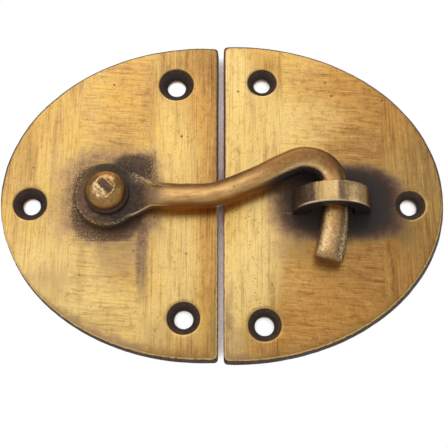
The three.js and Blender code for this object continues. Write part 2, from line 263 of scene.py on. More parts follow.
def grid_inside(outer, holes, spacing):
    """Points of a triangular grid inside outer and clear of every loop."""
    low, high = outer.min(axis=0), outer.max(axis=0)
    lines = []
    for index, z in enumerate(np.arange(low[1], high[1], spacing * math.sqrt(3) / 2)):
        x = np.arange(low[0] + (index % 2) * spacing / 2, high[0], spacing)
        lines.append(np.stack([x, np.full_like(x, z)], axis=1))
    grid = np.vstack(lines)
    margin = 0.55 * spacing
    keep = inside(grid, outer) & (distance_to(grid, outer) > margin)
    for loop in holes:
        keep &= ~inside(grid, loop) & (distance_to(grid, loop) > margin)
    return grid[keep]


def new_object(name, data):
    """An object in the scene."""
    made = bpy.data.objects.new(name, data)
    bpy.context.scene.collection.objects.link(made)
    return made


class Shell:
    """Points and faces of one closed surface, gathered ring by ring."""

    def __init__(self):
        self.rings = []
        self.faces = []
        self.count = 0

    def ring(self, points):
        """Adds points and returns their ids."""
        ids = np.arange(self.count, self.count + len(points))
        self.rings.append(np.asarray(points, float))
        self.count += len(points)
        return ids

    def bridge(self, first, second):
        """Quads between two closed rings of the same length."""
        for i in range(len(first)):
            j = (i + 1) % len(first)
            self.faces.append((first[i], first[j], second[j], second[i]))

    def tube(self, rings):
        """Rings joined one after another; returns the ids of the first and last."""
        ids = [self.ring(points) for points in rings]
        for first, second in zip(ids, ids[1:]):
            self.bridge(first, second)
        return ids[0], ids[-1]

    def fan(self, ring_ids, centre):
        middle = self.ring([centre])[0]
        for i in range(len(ring_ids)):
            self.faces.append((ring_ids[i], ring_ids[(i + 1) % len(ring_ids)], middle))

    def closed_tube(self, rings):
        """Rings joined one after another, with both ends closed."""
        first, last = self.tube(rings)
        self.fan(first, rings[0].mean(axis=0))
        self.fan(last, rings[-1].mean(axis=0))

    def turned(self, profile, count):
        """A tube round the pivot's axis through the points (radius, height) of a profile."""
        turn = np.linspace(0, 2 * math.pi, count, endpoint=False)
        return self.tube([in_part(r * np.cos(turn), height, r * np.sin(turn)) for r, height in profile])

    def points(self):
        return np.vstack(self.rings)

    def fill(self, outer, holes, spacing, to_part):
        """Triangles over the area inside the ring outer and outside the rings in holes.

        The rings are ids, and their x and z are used. to_part makes points of the part out of new x and z.
        """
        points = self.points()[:, [0, 2]]
        loops = [outer, *holes]
        edges = []
        start = 0
        for loop in loops:
            edges += [(start + i, start + (i + 1) % len(loop)) for i in range(len(loop))]
            start += len(loop)
        boundary = np.vstack([points[loop] for loop in loops])
        inner = grid_inside(points[outer], [points[loop] for loop in holes], spacing)
        ids = np.concatenate([*loops, self.ring(to_part(inner[:, 0], inner[:, 1]))])
        flat = [Vector(p) for p in np.vstack([boundary, inner])]
        found = geometry.delaunay_2d_cdt(flat, edges, [], 0, 1e-6, True)
        original = [source[0] for source in found[3]]
        corners = np.array([list(face) for face in found[2]])
        middles = np.array([list(v) for v in found[0]])[corners].mean(axis=1)
        keep = inside(middles, points[outer])
        for loop in holes:
            keep &= ~inside(middles, points[loop])
        for a, b, c in corners[keep]:
            self.faces.append((ids[original[a]], ids[original[b]], ids[original[c]]))

    def piece(self, name, smooth_angle=40):
        """The surface as a mesh object, with outward faces and smooth shading."""
        mesh = bpy.data.meshes.new(name)
        mesh.from_pydata((self.points() * MM).tolist(), [], [tuple(int(i) for i in f) for f in self.faces])
        work = bmesh.new()
        work.from_mesh(mesh)
        bmesh.ops.recalc_face_normals(work, faces=work.faces)
        work.to_mesh(mesh)
        work.free()
        mesh.validate()
        mesh.shade_smooth()
        mesh.set_sharp_from_angle(angle=math.radians(smooth_angle))
        return new_object(name, mesh)


def vertex_values(piece, name):
    """A vector of every vertex, such as its place or normal."""
    values = np.zeros(len(piece.data.vertices) * 3)
    piece.data.vertices.foreach_get(name, values)
    return values.reshape(-1, 3)


def coordinates(piece):
    """A piece's vertices in millimetres."""
    return vertex_values(piece, "co") / MM


def normals(piece):
    return vertex_values(piece, "normal")


def move_vertices(piece, points):
    piece.data.vertices.foreach_set("co", (points * MM).ravel())
    piece.data.update()


def paint(piece, name, values):
    """Stores one number per vertex, for the materials to read."""
    attribute = piece.data.attributes.new(name, "FLOAT", "POINT")
    attribute.data.foreach_set("value", np.asarray(values, np.float32))


def apply_modifiers(piece):
    bpy.context.view_layer.update()
    graph = bpy.context.evaluated_depsgraph_get()
    final = bpy.data.meshes.new_from_object(piece.evaluated_get(graph))
    piece.modifiers.clear()
    piece.data = final


# ---------- plates ----------


def split_and_apex(plate):
    """The x of the plate's straight edge and of the end of its oval."""
    low, high = box_mm(plate["node"])
    return (high[0], low[0]) if plate["side"] < 0 else (low[0], high[0])


def plate_outline(plate):
    """The plate's outline at its back, as even (x, z) points: a straight split edge and an elliptical arc."""
    side = plate["side"]
    low, high = box_mm(plate["node"])
    split, apex = split_and_apex(plate)
    centre_x = split + side * plate["ellipse_inset"]
    centre_z = (low[2] + high[2]) / 2
    half_width = abs(apex - centre_x)
    half_height = (high[2] - low[2]) / 2

    def edge(x):
        return half_height * math.sqrt(1 - ((x - centre_x) / half_width) ** 2)

    start = split + side * SPLIT_CORNER
    limit = math.acos((start - centre_x) / half_width)
    turn = np.linspace(limit, 2 * math.pi - limit if side < 0 else -limit, ARC_SAMPLES)
    oval = np.stack([half_width * np.cos(turn), half_height * np.sin(turn)], axis=1)
    # a small curve rounds the sharp corner between the split edge and the oval
    t = np.linspace(0, 1, CORNER_SAMPLES)[:, None]
    below, sharp, beside = ((split, edge(split) - SPLIT_CORNER), (split, edge(split)), (start, edge(start)))
    corner = (1 - t) ** 2 * np.array(below) + 2 * t * (1 - t) * np.array(sharp) + t**2 * np.array(beside)
    corner[:, 0] -= centre_x
    lower = corner[::-1] * (1, -1)
    points = np.vstack([corner[:-1], oval, lower[1:]])
    return even_loop(points, EDGE_SPACING) + (centre_x, centre_z)


def lean_in(plate, outline, draft_share, inset):
    """The outline moved in by a share of the plate's draft plus an even inset."""
    side, draft = plate["side"], plate["draft"]
    low, high = outline.min(axis=0), outline.max(axis=0)
    across = (outline[:, 0] - low[0]) / (high[0] - low[0])
    if side < 0:
        across = 1 - across
    up = (outline[:, 1] - low[1]) / (high[1] - low[1])

    def amount(edge):
        return draft[edge] * draft_share + inset

    moved = outline.copy()
    moved[:, 0] += side * (amount("split") * (1 - across) - amount("apex") * across)
    moved[:, 1] += amount("bottom") * (1 - up) - amount("top") * up
    return moved


def face_relief(plate, x, z):
    """Height of the ground front face over its nominal plane: slow waves, and a slight roll to the split."""
    points = np.stack([x, np.zeros_like(x), z], axis=-1)
    waves = 0.045 * ripple(points, 14.0, 1 + plate["side"]) + 0.012 * ripple(points, 3.5, 4)
    split, _ = split_and_apex(plate)
    near_split = np.clip(1 - np.abs(x - split) / ROLL_REACH, 0, 1)
    return waves - plate["roll"] * near_split**2 - FACE_DROP


def circle(x, z, radius):
    """A ring of (x, z) points for a hole. radius is one number, or one for every point."""
    turn = np.linspace(0, 2 * math.pi, HOLE_POINTS, endpoint=False)
    return np.stack([x + radius * np.cos(turn), z + radius * np.sin(turn)], axis=1)


def rounded_rectangle(x, z, half_x, half_z, radius):
    """A rectangle with rounded corners and its middle at (x, z), as (x, z) points."""
    points = []
    for corner, (sx, sz) in enumerate([(1, 1), (-1, 1), (-1, -1), (1, -1)]):
        centre_x, centre_z = x + sx * (half_x - radius), z + sz * (half_z - radius)
        for step in range(5):
            angle = math.pi / 2 * (corner + step / 4)
            points.append((centre_x + radius * math.cos(angle), centre_z + radius * math.sin(angle)))
    return np.array(points)


def screw_hole_rings(x, z, countersink, bore, seed):
    """(points, height) down a countersunk hole, slightly out of round, from the face to the back."""
    mouth, bore = countersink / 2, bore / 2
    depth = min(mouth - bore, 0.8 * THICKNESS)
    mouth_x, mouth_z = circle(x, z, mouth).T
    wobble = 0.05 * ripple(in_part(mouth_x, 0, mouth_z), 2.5, seed)
    # radius, height
    levels = [(mouth + 0.12, 0), (mouth, -0.05), (mouth - 0.1, -0.14)]
    levels += [(mouth - depth * t, -depth * t) for t in (0.25, 0.5, 0.75)]
    levels += [(bore + 0.06, -depth + 0.05), (bore, -depth - 0.08), (bore, -0.75 * THICKNESS)]
    levels += [(bore, -THICKNESS + 0.12), (bore + 0.1, -THICKNESS)]
    return [(circle(x, z, radius + wobble), height) for radius, height in levels]


def stud_hole_rings():
    radius = TENON_RADIUS + TENON_GAP
    levels = [(radius, 0), (radius, -THICKNESS + TAIL_DEPTH), (TAIL_RADIUS + TENON_GAP, -THICKNESS)]
    return [(circle(0, 0, radius), height) for radius, height in levels]


def tenon_section(side, grow):
    """Middle x and z and half sizes of the staple's tenon on one side, grown all round."""
    tenon = STAPLE_TENON
    x = STAPLE_X + side * tenon["from_middle"]
    z = (STAPLE_LOW[2] + STAPLE_HIGH[2]) / 2
    return x, z, tenon["width"] / 2 + grow, tenon["breadth"] / 2 + grow


def tenon_hole_rings(side):
    tail, gap = STAPLE_TAIL, TENON_GAP
    levels = [(gap, 0), (gap, -THICKNESS + tail["depth"]), (gap + tail["spread"], -THICKNESS)]
    return [(rounded_rectangle(*tenon_section(side, grow), TENON_EDGE), height) for grow, height in levels]


def plate_piece(plate, holes):
    """One half-oval plate: ground face, rounded rim, drafted cast wall, rough back, and its holes."""
    shell = Shell()
    outline = plate_outline(plate)

    def at_height(loop, height):
        """A ring of the part, which follows the face's relief in the uppermost millimetre."""
        share = min(1.0, max(0.0, 1 + height))
        x, z = loop.T
        return in_part(x, height + face_relief(plate, x, z) * share, z)

    # height, share of the draft, inset
    levels = [(-THICKNESS, 0, 0.25), (-THICKNESS + 0.08, 0, 0.08), (-THICKNESS + 0.25, 0, 0)]
    levels += [(-THICKNESS * t, 1 - t, 0) for t in (0.75, 0.55, 0.35)]
    for angle in np.radians([0, 30, 60, 90]):
        height = RIM_RADIUS * (math.sin(angle) - 1)
        levels.append((height, 1 + height / THICKNESS, RIM_RADIUS * (1 - math.cos(angle))))
    rings = []
    for height, draft_share, inset in levels:
        loop = lean_in(plate, outline, draft_share, inset)
        points = in_part(loop[:, 0], height, loop[:, 1])
        cast = 0.05 * ripple(points, 1.6, 6) + 0.06 * ripple(points, 9.0, 7)
        middle = (loop.min(axis=0) + loop.max(axis=0)) / 2
        outward = (loop - middle) / np.linalg.norm(loop - middle, axis=1)[:, None]
        rings.append(at_height(loop + np.minimum(cast, 0.02)[:, None] * outward, height))
    back, face = shell.tube(rings)
    tubes = [shell.tube([at_height(points, height) for points, height in hole]) for hole in holes]
    front_holes, back_holes = zip(*tubes)
    shell.fill(face, front_holes, FACE_SPACING, lambda x, z: in_part(x, face_relief(plate, x, z), z))
    shell.fill(back, back_holes, 2 * FACE_SPACING, lambda x, z: in_part(x, -THICKNESS, z))
    piece = shell.piece(plate["node"] + "_cast", 50)
    flat = coordinates(piece)[:, [0, 2]]
    face_loop = shell.points()[face][:, [0, 2]]
    rim = distance_to(flat, face_loop)
    paint(piece, "rim", np.where(inside(flat, face_loop), rim, -rim))
    sinks = [np.hypot(flat[:, 0] - x, flat[:, 1] - z) - mouth / 2 for x, z, mouth, _ in plate["screw_holes"]]
    paint(piece, "sink", np.min(sinks, axis=0))
    return piece


# ---------- pivot stud ----------


def arc(middle, reach, degrees):
    """Points of an elliptical arc, as (radius, height)."""
    angles = np.radians(degrees)
    return list(zip(middle[0] + reach[0] * np.cos(angles), middle[1] + reach[1] * np.sin(angles)))


def stud_piece():
    """The turned stud, from its peened tail to its hammered crown."""
    profile = [(0.4, -THICKNESS), (2.0, -THICKNESS), (TAIL_RADIUS - 0.15, -THICKNESS + 0.01)]
    profile += [(TAIL_RADIUS, -THICKNESS + 0.08), (TENON_RADIUS, -THICKNESS + TAIL_DEPTH)]
    profile += [(TENON_RADIUS, -0.02), (PIVOT_RADIUS, 0.0), (PIVOT_RADIUS, COLLAR_BOTTOM - 0.02)]
    profile += [(COLLAR_RADIUS - COLLAR_ROUNDING, COLLAR_BOTTOM)]
    collar_middle = (COLLAR_RADIUS - COLLAR_ROUNDING, (COLLAR_BOTTOM + COLLAR_TOP) / 2)
    profile += arc(collar_middle, (COLLAR_ROUNDING, (COLLAR_TOP - COLLAR_BOTTOM) / 2), np.arange(-80, 81, 20))
    profile += [(DOME_RADIUS + 0.1, COLLAR_TOP + 0.02), (DOME_RADIUS - 0.05, COLLAR_TOP + 0.15)]
    profile += [(DOME_RADIUS, DOME_SPRING)]
    profile += arc((0, DOME_SPRING), (DOME_RADIUS, DOME_TOP - DOME_SPRING), np.arange(3, 88, 3))
    shell = Shell()
    first, last = shell.turned(profile, 128)
    shell.fan(first, in_part(0, -THICKNESS, 0))
    shell.fan(last, in_part(0, DOME_TOP, 0))
    piece = shell.piece("pivot_stud_turned", 60)
    points = coordinates(piece)
    height = -points[:, 1] - THICKNESS
    crown = height > DOME_SPRING
    x, z = points[:, 0], points[:, 2]
    # the crown is beaten nearly flat, a little high on the right, with skew file cuts across it
    flat_top = DOME_TOP - CROWN_CUT + 0.05 * (x + z) + 0.10 * ripple(points, 1.1, 11)
    across_cuts = (x * 0.55 + z * 0.83) / CUT_SPACING
    along_cuts = (x * 0.83 - z * 0.55) / CUT_SPACING * 0.075
    cuts = [noise.noise(Vector((a, c, 3.0))) for a, c in zip(along_cuts, across_cuts)]
    over = np.maximum(height - flat_top - 0.10 * np.array(cuts), 0) * crown
    height -= over
    paint(piece, "beaten", np.clip(over / 0.12, 0, 1))
    points[:, 1] = -THICKNESS - height
    dents = 0.02 * ripple(points, 1.5, 12)
    points += normals(piece) * np.where(height > COLLAR_BOTTOM, dents, 0)[:, None]
    points[:, 1] = np.minimum(points[:, 1], 0)
    move_vertices(piece, points)
    return piece


# ---------- hook ----------


def catmull_rom(rows, steps):
    """A Catmull-Rom spline through the rows of an array, with steps samples per span."""
    rows = np.asarray(rows, float)
    padded = np.vstack([2 * rows[0] - rows[1], rows, 2 * rows[-1] - rows[-2]])
    samples = []
    for i in range(len(rows) - 1):
        before, start, end, after = padded[i : i + 4]
        slope = end - before
        bend = 2 * before - 5 * start + 4 * end - after
        twist = 3 * start - before - 3 * end + after
        for t in np.arange(steps) / steps:
            samples.append(0.5 * (2 * start + slope * t + bend * t**2 + twist * t**3))
    samples.append(rows[-1])
    return np.array(samples)


def bar_line():
    """Even samples along the bar (x, z, height, width, thickness, squareness) and how far along each is."""
    rows = list(ARM_STATIONS)
    for level in TIP_LEVELS:
        share = (TIP_LEVELS[0] - level) / (TIP_LEVELS[0] - TIP_LEVELS[-1])
        sizes = [start + (end - start) * share for start, end in (TIP_HEIGHT, TIP_WIDTH, TIP_THICKNESS)]
        rows.append((math.sqrt(SWING_RADIUS**2 - level**2), level, *sizes, TIP_SQUARENESS))
    dense = catmull_rom(rows, 40)
    along = np.concatenate([[0], np.cumsum(np.linalg.norm(np.diff(dense[:, :2], axis=0), axis=1))])
    at = np.linspace(0, along[-1], BAR_SAMPLES)
    line = np.stack([np.interp(at, along, dense[:, i]) for i in range(dense.shape[1])], axis=1)
    return line, at


def headings(line):
    """The direction of the bar's middle line at every sample."""
    heading = np.gradient(line[:, :2], axis=0)
    return heading / np.linalg.norm(heading, axis=1)[:, None]


def bar_shell(line, at):
    """The closed surface of the bar: sections between a rectangle and an ellipse, rounded off at the tip."""
    turn = np.linspace(0, 2 * math.pi, BAR_POINTS, endpoint=False)
    rings = []
    for (x, z, height, width, thickness, squareness), heading, rest in zip(line, headings(line), at[-1] - at):
        if rest < TIP_ROUNDING:
            share = max(0.03, (1 - (1 - rest / TIP_ROUNDING) ** TIP_POWER) ** (1 / TIP_POWER))
            shrink = 1.6 * TIP_ROUNDING * (1 - share)
            width, thickness = width - shrink, thickness - shrink
        power = 2 / squareness
        across = width / 2 * np.sign(np.cos(turn)) * np.abs(np.cos(turn)) ** power
        up = thickness / 2 * np.sign(np.sin(turn)) * np.abs(np.sin(turn)) ** power
        rings.append(in_part(x - heading[1] * across, height + up, z + heading[0] * across))
    shell = Shell()
    shell.closed_tube(rings)
    return shell


def eye_shell():
    """The hook's eye: a thick washer with a rounded rim, closed round its bore."""
    edge = EYE_ROUNDING
    reach = (edge, edge)
    profile = [(EYE_BORE, EYE_BOTTOM), (EYE_RADIUS - edge, EYE_BOTTOM)]
    profile += arc((EYE_RADIUS - edge, EYE_BOTTOM + edge), reach, np.arange(-75, 1, 15))
    profile += arc((EYE_RADIUS - edge, EYE_TOP - edge), reach, np.arange(0, 91, 15))
    profile += [(EYE_BORE, EYE_TOP)]
    shell = Shell()
    first, last = shell.turned(profile, 120)
    shell.bridge(last, first)
    return shell


def remeshed(pieces, name, voxel):
    """One new piece round several closed, overlapping pieces, which are removed."""
    join = bmesh.new()
    for piece in pieces:
        join.from_mesh(piece.data)
        bpy.data.objects.remove(piece)
    mesh = bpy.data.meshes.new(name)
    join.to_mesh(mesh)
    join.free()
    whole = new_object(name, mesh)
    remesh = whole.modifiers.new("remesh", "REMESH")
    remesh.mode = "VOXEL"
    remesh.voxel_size = voxel * MM
    smooth = whole.modifiers.new("smooth", "SMOOTH")
    smooth.factor = 0.5
    smooth.iterations = 4
    apply_modifiers(whole)
    whole.data.name = name
    whole.data.shade_smooth()
    return whole


def hook_piece():
    """The forged hook: eye, neck, bar, crook and tip as one skin, with hammer waves and small pits."""
    line, at = bar_line()
    bar = bar_shell(line, at).piece("bar")
    eye = eye_shell().piece("eye")
    piece = remeshed([bar, eye], "hook_forged", HOOK_VOXEL)
    points = coordinates(piece)
    flat = points[:, [0, 2]]
    nearest = np.zeros(len(points), int)
    best = np.full(len(points), np.inf)
    for index, place in enumerate(line[:, :2]):
        gap = np.linalg.norm(flat - place, axis=1)
        nearest[gap < best] = index
        best = np.minimum(best, gap)
    heading = headings(line)[nearest]
    offset = flat - line[nearest, :2]
    across = heading[:, 0] * offset[:, 1] - heading[:, 1] * offset[:, 0]
    waves = 0.05 * ripple(points, 3.2, 21) + 0.02 * ripple(points, 0.9, 22)
    on_bore = np.hypot(flat[:, 0], flat[:, 1]) < EYE_BORE + 0.4
    outward = normals(piece)
    move_vertices(piece, points + outward * np.where(on_bore, 0, waves)[:, None])
    paint(piece, "along", at[nearest])
    paint(piece, "across", across / (line[nearest, 3] / 2))
    paint(piece, "side", heading[:, 0] * outward[:, 2] - heading[:, 1] * outward[:, 0])
    return piece


# ---------- eye staple ----------


def staple_section(inner, outer, z_low, z_high, edge):
    """A rounded rectangle from inner to outer, which are (x, height), and from z_low to z_high."""
    inner, outer = np.array(inner), np.array(outer)
    length = np.linalg.norm(outer - inner)
    way = (outer - inner) / length
    loop = rounded_rectangle(length / 2, (z_low + z_high) / 2, length / 2, (z_high - z_low) / 2, edge)
    x, height = (inner + loop[:, :1] * way).T
    return in_part(x, height, loop[:, 1])


def staple_foot(side):
    """Sections of a tenon, from its flush tail up to the leg."""
    sections = []
    levels = [(STAPLE_TAIL["spread"] - 0.1, -THICKNESS), (STAPLE_TAIL["spread"], -THICKNESS + 0.1)]
    for grow, height in [*levels, (0, -THICKNESS + STAPLE_TAIL["depth"]), (0, 0)]:
        x, z, half_x, half_z = tenon_section(side, grow)
        inner, outer = (x - side * half_x, height), (x + side * half_x, height)
        sections.append(staple_section(inner, outer, z - half_z, z + half_z, TENON_EDGE))
    return sections


def staple_piece():
    """The half ring with its two tenons, swept from one flush tail to the other."""
    z_low, z_high = STAPLE_LOW[2], STAPLE_HIGH[2]

    def leg(side, level):
        inner, outer = (STAPLE_X + side * ARCH_RADIUS, level), (STAPLE_X + side * STAPLE_RADIUS, level)
        return staple_section(inner, outer, z_low, z_high, STAPLE_EDGE)

    rings = staple_foot(-1) + [leg(-1, 0.02), leg(-1, 0.3)]
    for angle in np.radians(np.arange(178, 1, -2)):
        across, up = math.cos(angle), math.sin(angle)
        inner = (STAPLE_X + ARCH_RADIUS * across, ARCH_CENTRE + ARCH_RADIUS * up)
        outer = (STAPLE_X + STAPLE_RADIUS * across, STAPLE_CENTRE + STAPLE_RADIUS * up)
        rings.append(staple_section(inner, outer, z_low, z_high, STAPLE_EDGE))
    rings += [leg(1, 0.3), leg(1, 0.02)] + staple_foot(1)[::-1]
    shell = Shell()
    shell.closed_tube(rings)
    piece = shell.piece("eye_staple_filed", 35)
    subdivide(piece, 2)
    points = coordinates(piece)
    height = -points[:, 1] - THICKNESS
    dents = 0.03 * ripple(points, 2.2, 31) + 0.012 * ripple(points, 0.8, 32)
    outward = normals(piece)
    paint(piece, "under", -outward[:, 2])
    move_vertices(piece, points + outward * np.where(height > 0.3, dents, 0)[:, None])
    return piece


def subdivide(piece, levels):
    """Cuts every face finer without rounding the shape."""
    cut = piece.modifiers.new("cut", "SUBSURF")
    cut.subdivision_type = "SIMPLE"
    cut.levels = cut.render_levels = levels
    apply_modifiers(piece)


# ---------- node trees ----------


def combined(operation):
    """A method that puts a value and something else through a math node."""
    return lambda value, other: value.graph.math(operation, value, other)


class Value:
    """A number that varies over a surface. Arithmetic with it adds nodes to its graph."""

    def __init__(self, graph, socket):
        self.graph = graph
        self.socket = socket

    __add__ = __radd__ = combined("ADD")
    __mul__ = __rmul__ = combined("MULTIPLY")
    __sub__ = combined("SUBTRACT")
    __truediv__ = combined("DIVIDE")
    __pow__ = combined("POWER")

    def __abs__(self):
        return self.graph.math("ABSOLUTE", self)

    def invert(self):
        """1 where the value is 0, and 0 where it is 1."""
        return self.graph.math("SUBTRACT", 1.0, self, clamp=True)

    def clamped(self):
        return self.graph.math("ADD", self, 0.0, clamp=True)

    def between(self, low, high):
        """0 at low and 1 at high, smooth in between. low may be the larger."""
        inputs = {0: self, 1: low, 2: high}
        made = self.graph.node("ShaderNodeMapRange", inputs, interpolation_type="SMOOTHSTEP", clamp=True)
        return Value(self.graph, made.outputs[0])


def most(first, *others):
    """The largest of several values."""
    for value in others:
        first = first.graph.math("MAXIMUM", first, value)
    return first


class Graph:
    """The node tree of a material or a world, with short calls for the nodes used here."""

    def __init__(self, owner):
        self.owner = owner
        owner.use_nodes = True
        self.tree = owner.node_tree
        self.tree.nodes.clear()
        where = self.node("ShaderNodeTexCoord").outputs["Object"]
        scaled = self.node("ShaderNodeVectorMath", {0: where, "Scale": 1 / MM}, operation="SCALE")
        self.place = scaled.outputs[0]
        split = self.node("ShaderNodeSeparateXYZ", {0: self.place})
        self.x, self.y, self.z = (Value(self, socket) for socket in split.outputs)

    def node(self, kind, inputs=None, **settings):
        """A new node with its settings made and its inputs linked to a socket or set to a value."""
        made = self.tree.nodes.new(kind)
        for key, value in settings.items():
            setattr(made, key, value)
        for key, value in (inputs or {}).items():
            socket = made.inputs[key]
            if isinstance(value, Value):
                value = value.socket
            if isinstance(value, bpy.types.NodeSocket):
                self.tree.links.new(value, socket)
            else:
                socket.default_value = (*value, 1) if socket.type == "RGBA" else value
        return made

    def math(self, operation, *values, clamp=False):
        made = self.node("ShaderNodeMath", dict(enumerate(values)), operation=operation, use_clamp=clamp)
        return Value(self, made.outputs[0])

    def attribute(self, name):
        return Value(self, self.node("ShaderNodeAttribute", attribute_name=name).outputs["Fac"])

    def mix(self, factor, a, b, blend="MIX"):
        """Colour a turned towards colour b by factor."""
        inputs = {0: factor, 6: a, 7: b}
        made = self.node("ShaderNodeMix", inputs, data_type="RGBA", blend_type=blend, clamp_factor=True)
        return made.outputs[2]

    def over(self, colour, *layers):
        """A colour under layers, each a cover from 0 to 1 and a colour."""
        for cover, layer in layers:
            colour = self.mix(cover, colour, layer)
        return colour

    def ramp(self, value, stops):
        """The colour at value along a list of (position, colour)."""
        made = self.node("ShaderNodeValToRGB", {0: value})
        elements = made.color_ramp.elements
        while len(elements) < len(stops):
            elements.new(1.0)
        for element, (position, colour) in zip(elements, stops):
            element.position = position
            element.color = (*colour, 1)
        return made.outputs[0]

    def scaled(self, scale, shift):
        """The place in millimetres scaled evenly, or along each axis for a grain, and then shifted."""
        scale = scale if isinstance(scale, tuple) else (scale,) * 3
        inputs = {0: self.place, 1: scale, 2: (shift,) * 3}
        return self.node("ShaderNodeVectorMath", inputs, operation="MULTIPLY_ADD").outputs[0]

    def vector(self, x, y, z):
        return self.node("ShaderNodeCombineXYZ", {0: x, 1: y, 2: z}).outputs[0]

    def noise_at(self, place, detail, roughness, distortion=0.0):
        """Noise about 0.5 with features about 1 across."""
        inputs = {"Vector": place, "Scale": 1.0, "Detail": detail}
        made = self.node("ShaderNodeTexNoise", {**inputs, "Roughness": roughness, "Distortion": distortion})
        return Value(self, made.outputs[0])

    def noise(self, scale, shift, detail, roughness, distortion=0.0):
        """Noise about 0.5 over the piece, finer where scale is greater."""
        return self.noise_at(self.scaled(scale, shift), detail, roughness, distortion)

    def specks(self, size, share, shift=0.0):
        """Small round dots: about share of the cells of that size in millimetres hold one."""
        inputs = {"Vector": self.scaled(1 / size, shift), "Scale": 1.0}
        cells = self.node("ShaderNodeTexVoronoi", inputs, feature="F1")
        pick = self.node("ShaderNodeSeparateXYZ", {0: cells.outputs["Color"]})
        chosen = self.math("LESS_THAN", pick.outputs[0], share)
        reach = Value(self, pick.outputs[1]) * 0.14 + 0.10
        near = Value(self, cells.outputs["Distance"]) / reach
        return near.between(1.0, 0.45) * chosen

    def metal(self, colour, tarnished, dullest, roughness, relief, depth, sideways=None):
        """Metal that turns towards matt crust, down to dullest, where it is tarnished.

        Relief of 1 stands depth millimetres out. sideways is given for a brushed face.
        """
        crust = tarnished.between(0.30, 0.95)
        bump = self.node("ShaderNodeBump", {"Strength": 1.0, "Distance": depth * MM, "Height": relief})
        inputs = {
            "Base Color": colour,
            "Metallic": crust * (dullest - 1) + 1.0,
            "Specular IOR Level": crust * -0.3 + 0.5,
            "Roughness": roughness,
            "Normal": bump.outputs[0],
        }
        if sideways:
            inputs |= {"Anisotropic": 0.4, "Anisotropic Rotation": sideways * 0.25}
        surface = self.node("ShaderNodeBsdfPrincipled", inputs)
        self.node("ShaderNodeOutputMaterial", {0: surface.outputs[0]})
        return self.owner


# ---------- materials ----------

GOLD = (0.87, 0.55, 0.145)
TAN = (0.79, 0.50, 0.18)
BRONZE = (0.40, 0.20, 0.07)
AMBER = (0.67, 0.325, 0.082)
PALE_TONE_AND_HIGHLIGHT = (1.0, 0.715, 0.265)
BROWN = (0.44, 0.215, 0.055)
RED_BROWN_SHADE = (0.24, 0.085, 0.018)
UMBER = (0.10, 0.043, 0.014)
GLEAM = (0.98, 0.66, 0.25)
GROOVE = (0.52, 0.41, 0.32)
RUBBED_AND_HIGHLIGHT = (1.0, 0.74, 0.42)
BARE = (1.0, 0.80, 0.46)
# what brass turns to as it tarnishes: dull tan, violet brown, brown, blue-black
TARNISH = [
    (0.0, (0.74, 0.47, 0.20)),
    (0.28, (0.53, 0.325, 0.155)),
    (0.48, (0.30, 0.174, 0.096)),
    (0.66, (0.160, 0.086, 0.050)),
    (0.82, (0.078, 0.050, 0.036)),
    (1.0, (0.039, 0.035, 0.035)),
]
PATCH_FADE = 0.8


def tarnish(graph, colour, amount):
    """Brass darkening as amount goes from 0 to 1; never lighter than it was."""
    return graph.mix(amount.between(0.0, 0.32), colour, graph.ramp(amount, TARNISH), "DARKEN")


def patches(graph, places, raggedness, power=2.0):
    """How strongly any of several soft patches covers each point.

    raggedness is about 0 and moves their edges. A greater power makes them squarer.
    """
    clear = 1.0
    for x, z, reach_x, reach_z, strength, *fade in places:
        fade = fade[0] if fade else PATCH_FADE
        across, up = abs((graph.x - x) / reach_x), abs((graph.z - z) / reach_z)
        away = (across**power + up**power) ** (1 / power)
        cover = (raggedness * fade + away).between(1.0 + 0.3 * fade, 1.0 - 0.7 * fade) * strength
        clear = cover.invert() * clear
    return clear.invert()


def bright_scratches(graph, lines, raggedness):
    """Thin wavering bright lines across a face."""
    found = []
    for x0, x1, z, strength in lines:
        line = abs(graph.z - z + raggedness * 0.5).between(0.16, 0.02)
        span = graph.x.between(x0, x0 + 2) * graph.x.between(x1, x1 - 2)
        found.append(line * span * raggedness.between(-0.12, 0.04) * strength)
    return most(*found)


def brushing(graph, sideways):
    """Fine grain, middling strokes and broad bands of a brushed face, about 0.5, across or up and down."""
    results = []
    for fine, slow in ((3.8, 0.07), (1.8, 0.08), (0.50, 0.05)):
        upright = graph.noise((fine, 1, slow), 9.0, 2, 0.60, 0.3) * 0.84 + 0.08
        slanting = graph.x * (fine * 0.06) + graph.z * (fine * 0.8)
        across = graph.noise_at(graph.vector(graph.x * (slow * 2.2), graph.y, slanting), 4, 0.66, 0.7)
        results.append(sideways * (across - upright) + upright)
    return results


